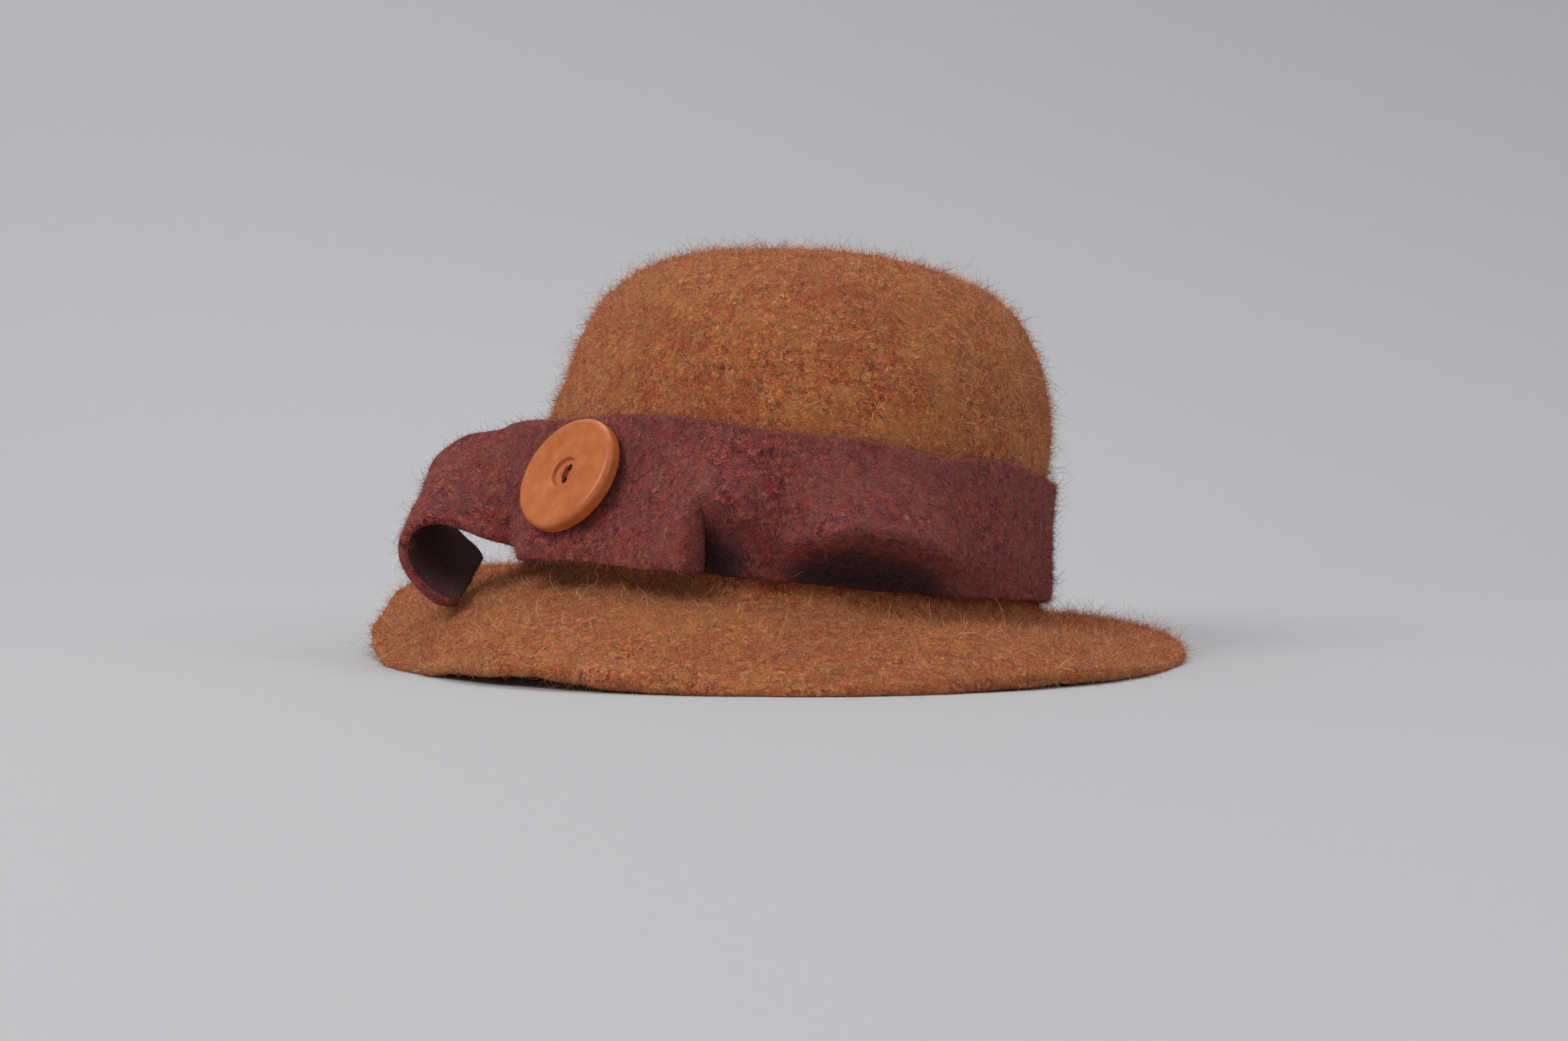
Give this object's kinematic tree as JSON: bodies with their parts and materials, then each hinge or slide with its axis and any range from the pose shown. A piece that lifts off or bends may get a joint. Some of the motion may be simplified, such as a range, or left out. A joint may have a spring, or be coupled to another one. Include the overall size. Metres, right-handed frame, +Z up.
{
  "type": "cloche hat",
  "caption": "Felted wool cloche hat with a domed crown, wavy brim, ruffled felt band with a curled tail, a side button and an inner band.",
  "frame": {"origin": "middle of the hat's outline seen from above, on the plane its brim rests on", "axes": "+Z up, front of the hat towards -Y, the wearer's right with the button and the tail towards -X"},
  "size_m": [0.2594, 0.3116, 0.1291],
  "materials": {
    "amber_felt": "thick heathered wool felt, burnt orange flecked with gold, rust and brown, with a fuzzy surface",
    "burgundy_felt": "heathered wool felt, burgundy flecked with red, plum and olive, with a fuzzy surface",
    "navy_ribbon": "dark navy ribbed ribbon, matte",
    "orange_plastic": "moulded orange plastic, satin, slightly mottled",
    "burgundy_thread": "twisted sewing thread"
  },
  "bodies": {
    "root": {"hat_body": "amber_felt", "band": "burgundy_felt", "inner_band": "navy_ribbon", "button": "orange_plastic", "button_thread": "burgundy_thread"}
  },
  "joints": []
}
